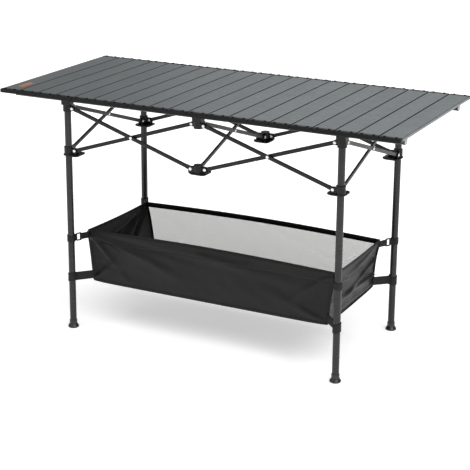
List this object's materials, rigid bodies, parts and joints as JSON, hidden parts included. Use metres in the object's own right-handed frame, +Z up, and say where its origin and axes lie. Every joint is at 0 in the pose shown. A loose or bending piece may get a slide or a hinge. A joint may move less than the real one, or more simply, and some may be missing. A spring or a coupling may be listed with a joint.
{
  "type": "folding table",
  "caption": "Roll-up slatted camp table on a scissor lattice frame with four legs and a fabric storage basket slung below",
  "frame": {"origin": "on the ground below the middle of the tabletop", "axes": "+X along the tabletop, +Y across it towards the mesh wall of the basket, +Z up"},
  "size_m": [1.2, 0.55, 0.7124],
  "materials": {
    "slat_coating": "satin grey coating on hollow aluminium slats, black plastic end caps",
    "tube_coating": "satin charcoal coating on thin tube",
    "leg_coating": "satin charcoal coating on thin tube, black feet",
    "hub_plastic": "moulded black nylon, fine texture, bright steel rivets",
    "black_fabric": "black woven polyester with bound edges",
    "mesh_fabric": "light translucent mesh with a black hem"
  },
  "bodies": {
    "frame_root": {"top_hub_front_mid": "hub_plastic", "rail_front": "tube_coating", "basket_front": "black_fabric"},
    "hub_back_mid": {"top_hub_back_mid": "hub_plastic", "rail_back": "tube_coating", "basket_back": "mesh_fabric"},
    "bar_front_left_outer": {"bar_front_left_outer": "tube_coating"},
    "bar_front_left_inner": {"bar_front_left_inner": "tube_coating"},
    "bar_front_right_outer": {"bar_front_right_outer": "tube_coating"},
    "bar_front_right_inner": {"bar_front_right_inner": "tube_coating"},
    "bar_back_left_outer": {"bar_back_left_outer": "tube_coating"},
    "bar_back_left_inner": {"bar_back_left_inner": "tube_coating"},
    "bar_back_right_outer": {"bar_back_right_outer": "tube_coating"},
    "bar_back_right_inner": {"bar_back_right_inner": "tube_coating"},
    "bar_left_side_front": {"bar_left_side_front": "tube_coating"},
    "bar_left_side_back": {"bar_left_side_back": "tube_coating"},
    "bar_middle_front": {"bar_middle_front": "tube_coating"},
    "bar_middle_back": {"bar_middle_back": "tube_coating"},
    "bar_right_side_front": {"bar_right_side_front": "tube_coating"},
    "bar_right_side_back": {"bar_right_side_back": "tube_coating"},
    "leg_front_left": {"leg_front_left": "leg_coating", "top_hub_front_left": "hub_plastic", "basket_left": "black_fabric"},
    "leg_front_right": {"leg_front_right": "leg_coating", "top_hub_front_right": "hub_plastic", "basket_right": "black_fabric"},
    "leg_back_left": {"leg_back_left": "leg_coating", "top_hub_back_left": "hub_plastic", "straps_left_back": "black_fabric"},
    "leg_back_right": {"leg_back_right": "leg_coating", "top_hub_back_right": "hub_plastic", "straps_right_back": "black_fabric"},
    "slider_front_left": {"slider_front_left": "hub_plastic"},
    "slider_front_mid": {"slider_front_mid": "hub_plastic"},
    "slider_front_right": {"slider_front_right": "hub_plastic"},
    "slider_back_left": {"slider_back_left": "hub_plastic"},
    "slider_back_mid": {"slider_back_mid": "hub_plastic"},
    "slider_back_right": {"slider_back_right": "hub_plastic"},
    "basket_floor_front": {"basket_floor_front": "black_fabric"},
    "basket_floor_back": {"basket_floor_back": "black_fabric"},
    "top": {"slat_01": "slat_coating"},
    "slat_02": {"slat_02": "slat_coating"},
    "slat_03": {"slat_03": "slat_coating"},
    "slat_04": {"slat_04": "slat_coating"},
    "slat_05": {"slat_05": "slat_coating"},
    "slat_06": {"slat_06": "slat_coating"},
    "slat_07": {"slat_07": "slat_coating"},
    "slat_08": {"slat_08": "slat_coating"},
    "slat_09": {"slat_09": "slat_coating"},
    "slat_10": {"slat_10": "slat_coating"},
    "slat_11": {"slat_11": "slat_coating"},
    "slat_12": {"slat_12": "slat_coating"},
    "slat_13": {"slat_13": "slat_coating"},
    "slat_14": {"slat_14": "slat_coating"},
    "slat_15": {"slat_15": "slat_coating"},
    "slat_16": {"slat_16": "slat_coating"},
    "slat_17": {"slat_17": "slat_coating"},
    "slat_18": {"slat_18": "slat_coating"},
    "slat_19": {"slat_19": "slat_coating"},
    "slat_20": {"slat_20": "slat_coating"}
  },
  "joints": [
    {"name": "frame_fold", "type": "hinge", "parent": "frame_root", "child": "bar_front_left_inner", "pos_m": [-0.02, -0.209, 0.662], "axis": [0, -1, 0], "range_deg": [0, 58.8], "deforming": ["basket_front", "basket_back", "basket_left", "basket_right", "basket_floor_front", "basket_floor_back", "straps_left_back", "straps_right_back"]},
    {"name": "bar_front_left_outer_turn", "type": "hinge", "parent": "bar_front_left_inner", "child": "bar_front_left_outer", "pos_m": [-0.209, -0.209, 0.6], "axis": [0, -1, 0], "range_deg": [-117.6, 0]},
    {"name": "leg_front_left_turn", "type": "hinge", "parent": "bar_front_left_outer", "child": "leg_front_left", "pos_m": [-0.398, -0.209, 0.662], "axis": [0, -1, 0], "range_deg": [0, 58.8]},
    {"name": "slider_front_mid_turn", "type": "hinge", "parent": "bar_front_left_outer", "child": "slider_front_mid", "pos_m": [-0.02, -0.209, 0.538], "axis": [0, -1, 0], "range_deg": [0, 58.8]},
    {"name": "slider_front_left_turn", "type": "hinge", "parent": "bar_front_left_inner", "child": "slider_front_left", "pos_m": [-0.398, -0.209, 0.538], "axis": [0, -1, 0], "range_deg": [-58.8, 0]},
    {"name": "bar_front_right_inner_turn", "type": "hinge", "parent": "frame_root", "child": "bar_front_right_inner", "pos_m": [0.02, -0.209, 0.662], "axis": [0, -1, 0], "range_deg": [-58.8, 0]},
    {"name": "bar_front_right_outer_turn", "type": "hinge", "parent": "bar_front_right_inner", "child": "bar_front_right_outer", "pos_m": [0.209, -0.209, 0.6], "axis": [0, -1, 0], "range_deg": [0, 117.6]},
    {"name": "leg_front_right_turn", "type": "hinge", "parent": "bar_front_right_outer", "child": "leg_front_right", "pos_m": [0.398, -0.209, 0.662], "axis": [0, -1, 0], "range_deg": [-58.8, 0]},
    {"name": "slider_front_right_turn", "type": "hinge", "parent": "bar_front_right_inner", "child": "slider_front_right", "pos_m": [0.398, -0.209, 0.538], "axis": [0, -1, 0], "range_deg": [0, 58.8]},
    {"name": "bar_middle_front_turn", "type": "hinge", "parent": "frame_root", "child": "bar_middle_front", "pos_m": [0, -0.189, 0.662], "axis": [-1, 0, 0], "range_deg": [0, 58.8]},
    {"name": "bar_middle_back_turn", "type": "hinge", "parent": "bar_middle_front", "child": "bar_middle_back", "pos_m": [0, 0, 0.6], "axis": [-1, 0, 0], "range_deg": [-117.6, 0]},
    {"name": "hub_back_mid_turn", "type": "hinge", "parent": "bar_middle_back", "child": "hub_back_mid", "pos_m": [0, 0.189, 0.662], "axis": [-1, 0, 0], "range_deg": [0, 58.8]},
    {"name": "slider_back_mid_turn", "type": "hinge", "parent": "bar_middle_front", "child": "slider_back_mid", "pos_m": [0, 0.189, 0.538], "axis": [-1, 0, 0], "range_deg": [-58.8, 0]},
    {"name": "bar_back_left_inner_turn", "type": "hinge", "parent": "hub_back_mid", "child": "bar_back_left_inner", "pos_m": [-0.02, 0.209, 0.662], "axis": [0, -1, 0], "range_deg": [0, 58.8]},
    {"name": "bar_back_left_outer_turn", "type": "hinge", "parent": "bar_back_left_inner", "child": "bar_back_left_outer", "pos_m": [-0.209, 0.209, 0.6], "axis": [0, -1, 0], "range_deg": [-117.6, 0]},
    {"name": "slider_back_left_turn", "type": "hinge", "parent": "bar_back_left_inner", "child": "slider_back_left", "pos_m": [-0.398, 0.209, 0.538], "axis": [0, -1, 0], "range_deg": [-58.8, 0]},
    {"name": "bar_back_right_inner_turn", "type": "hinge", "parent": "hub_back_mid", "child": "bar_back_right_inner", "pos_m": [0.02, 0.209, 0.662], "axis": [0, -1, 0], "range_deg": [-58.8, 0]},
    {"name": "bar_back_right_outer_turn", "type": "hinge", "parent": "bar_back_right_inner", "child": "bar_back_right_outer", "pos_m": [0.209, 0.209, 0.6], "axis": [0, -1, 0], "range_deg": [0, 117.6]},
    {"name": "slider_back_right_turn", "type": "hinge", "parent": "bar_back_right_inner", "child": "slider_back_right", "pos_m": [0.398, 0.209, 0.538], "axis": [0, -1, 0], "range_deg": [0, 58.8]},
    {"name": "bar_left_side_front_turn", "type": "hinge", "parent": "leg_front_left", "child": "bar_left_side_front", "pos_m": [-0.418, -0.189, 0.662], "axis": [-1, 0, 0], "range_deg": [0, 58.8]},
    {"name": "bar_left_side_back_turn", "type": "hinge", "parent": "bar_left_side_front", "child": "bar_left_side_back", "pos_m": [-0.418, 0, 0.6], "axis": [-1, 0, 0], "range_deg": [-117.6, 0]},
    {"name": "leg_back_left_turn", "type": "hinge", "parent": "bar_left_side_back", "child": "leg_back_left", "pos_m": [-0.418, 0.189, 0.662], "axis": [-1, 0, 0], "range_deg": [0, 58.8]},
    {"name": "bar_right_side_front_turn", "type": "hinge", "parent": "leg_front_right", "child": "bar_right_side_front", "pos_m": [0.418, -0.189, 0.662], "axis": [-1, 0, 0], "range_deg": [0, 58.8]},
    {"name": "bar_right_side_back_turn", "type": "hinge", "parent": "bar_right_side_front", "child": "bar_right_side_back", "pos_m": [0.418, 0, 0.6], "axis": [-1, 0, 0], "range_deg": [-117.6, 0]},
    {"name": "leg_back_right_turn", "type": "hinge", "parent": "bar_right_side_back", "child": "leg_back_right", "pos_m": [0.418, 0.189, 0.662], "axis": [-1, 0, 0], "range_deg": [0, 58.8]},
    {"name": "floor_front_crease", "type": "hinge", "parent": "frame_root", "child": "basket_floor_front", "pos_m": [0, -0.1619, 0.14], "axis": [1, 0, 0], "range_deg": [0, 82.91]},
    {"name": "floor_back_crease", "type": "hinge", "parent": "hub_back_mid", "child": "basket_floor_back", "pos_m": [0, 0.1619, 0.14], "axis": [-1, 0, 0], "range_deg": [0, 82.91]},
    {"name": "top_lift", "type": "slide", "parent": "frame_root", "child": "top", "axis": [0, 0, 1], "range_m": [0, 0.15]},
    {"name": "seam_02_turn", "type": "hinge", "parent": "top", "child": "slat_02", "pos_m": [-0.54, 0, 0.71], "axis": [0, -1, 0], "range_deg": [0, 36.42]},
    {"name": "seam_03_turn", "type": "hinge", "parent": "slat_02", "child": "slat_03", "pos_m": [-0.48, 0, 0.71], "axis": [0, -1, 0], "range_deg": [0, 36.68]},
    {"name": "seam_04_turn", "type": "hinge", "parent": "slat_03", "child": "slat_04", "pos_m": [-0.42, 0, 0.71], "axis": [0, -1, 0], "range_deg": [0, 37.16]},
    {"name": "seam_05_turn", "type": "hinge", "parent": "slat_04", "child": "slat_05", "pos_m": [-0.36, 0, 0.71], "axis": [0, -1, 0], "range_deg": [0, 37.81]},
    {"name": "seam_06_turn", "type": "hinge", "parent": "slat_05", "child": "slat_06", "pos_m": [-0.3, 0, 0.71], "axis": [0, -1, 0], "range_deg": [0, 38.6]},
    {"name": "seam_07_turn", "type": "hinge", "parent": "slat_06", "child": "slat_07", "pos_m": [-0.24, 0, 0.71], "axis": [0, -1, 0], "range_deg": [0, 39.55]},
    {"name": "seam_08_turn", "type": "hinge", "parent": "slat_07", "child": "slat_08", "pos_m": [-0.18, 0, 0.71], "axis": [0, -1, 0], "range_deg": [0, 40.65]},
    {"name": "seam_09_turn", "type": "hinge", "parent": "slat_08", "child": "slat_09", "pos_m": [-0.12, 0, 0.71], "axis": [0, -1, 0], "range_deg": [0, 41.92]},
    {"name": "seam_10_turn", "type": "hinge", "parent": "slat_09", "child": "slat_10", "pos_m": [-0.06, 0, 0.71], "axis": [0, -1, 0], "range_deg": [0, 43.37]},
    {"name": "seam_11_turn", "type": "hinge", "parent": "slat_10", "child": "slat_11", "pos_m": [0, 0, 0.71], "axis": [0, -1, 0], "range_deg": [0, 45.04]},
    {"name": "seam_12_turn", "type": "hinge", "parent": "slat_11", "child": "slat_12", "pos_m": [0.06, 0, 0.71], "axis": [0, -1, 0], "range_deg": [0, 46.96]},
    {"name": "seam_13_turn", "type": "hinge", "parent": "slat_12", "child": "slat_13", "pos_m": [0.12, 0, 0.71], "axis": [0, -1, 0], "range_deg": [0, 49.17]},
    {"name": "seam_14_turn", "type": "hinge", "parent": "slat_13", "child": "slat_14", "pos_m": [0.18, 0, 0.71], "axis": [0, -1, 0], "range_deg": [0, 51.72]},
    {"name": "seam_15_turn", "type": "hinge", "parent": "slat_14", "child": "slat_15", "pos_m": [0.24, 0, 0.71], "axis": [0, -1, 0], "range_deg": [0, 54.69]},
    {"name": "seam_16_turn", "type": "hinge", "parent": "slat_15", "child": "slat_16", "pos_m": [0.3, 0, 0.71], "axis": [0, -1, 0], "range_deg": [0, 58.18]},
    {"name": "seam_17_turn", "type": "hinge", "parent": "slat_16", "child": "slat_17", "pos_m": [0.36, 0, 0.71], "axis": [0, -1, 0], "range_deg": [0, 62.34]},
    {"name": "seam_18_turn", "type": "hinge", "parent": "slat_17", "child": "slat_18", "pos_m": [0.42, 0, 0.71], "axis": [0, -1, 0], "range_deg": [0, 67.36]},
    {"name": "seam_19_turn", "type": "hinge", "parent": "slat_18", "child": "slat_19", "pos_m": [0.48, 0, 0.71], "axis": [0, -1, 0], "range_deg": [0, 73.55]},
    {"name": "seam_20_turn", "type": "hinge", "parent": "slat_19", "child": "slat_20", "pos_m": [0.54, 0, 0.71], "axis": [0, -1, 0], "range_deg": [0, 81.41]}
  ],
  "couplings": [
    {"joint": "bar_front_left_outer_turn", "follows": "frame_fold", "ratio": -2},
    {"joint": "leg_front_left_turn", "follows": "frame_fold", "ratio": 1},
    {"joint": "slider_front_mid_turn", "follows": "frame_fold", "ratio": 1},
    {"joint": "slider_front_left_turn", "follows": "frame_fold", "ratio": -1},
    {"joint": "bar_front_right_inner_turn", "follows": "frame_fold", "ratio": -1},
    {"joint": "bar_front_right_outer_turn", "follows": "frame_fold", "ratio": 2},
    {"joint": "leg_front_right_turn", "follows": "frame_fold", "ratio": -1},
    {"joint": "slider_front_right_turn", "follows": "frame_fold", "ratio": 1},
    {"joint": "bar_middle_front_turn", "follows": "frame_fold", "ratio": 1},
    {"joint": "bar_middle_back_turn", "follows": "frame_fold", "ratio": -2},
    {"joint": "hub_back_mid_turn", "follows": "frame_fold", "ratio": 1},
    {"joint": "slider_back_mid_turn", "follows": "frame_fold", "ratio": -1},
    {"joint": "bar_back_left_inner_turn", "follows": "frame_fold", "ratio": 1},
    {"joint": "bar_back_left_outer_turn", "follows": "frame_fold", "ratio": -2},
    {"joint": "slider_back_left_turn", "follows": "frame_fold", "ratio": -1},
    {"joint": "bar_back_right_inner_turn", "follows": "frame_fold", "ratio": -1},
    {"joint": "bar_back_right_outer_turn", "follows": "frame_fold", "ratio": 2},
    {"joint": "slider_back_right_turn", "follows": "frame_fold", "ratio": 1},
    {"joint": "bar_left_side_front_turn", "follows": "frame_fold", "ratio": 1},
    {"joint": "bar_left_side_back_turn", "follows": "frame_fold", "ratio": -2},
    {"joint": "leg_back_left_turn", "follows": "frame_fold", "ratio": 1},
    {"joint": "bar_right_side_front_turn", "follows": "frame_fold", "ratio": 1},
    {"joint": "bar_right_side_back_turn", "follows": "frame_fold", "ratio": -2},
    {"joint": "leg_back_right_turn", "follows": "frame_fold", "ratio": 1},
    {"joint": "floor_front_crease", "follows": "frame_fold", "ratio": 1.41},
    {"joint": "floor_back_crease", "follows": "frame_fold", "ratio": 1.41}
  ]
}
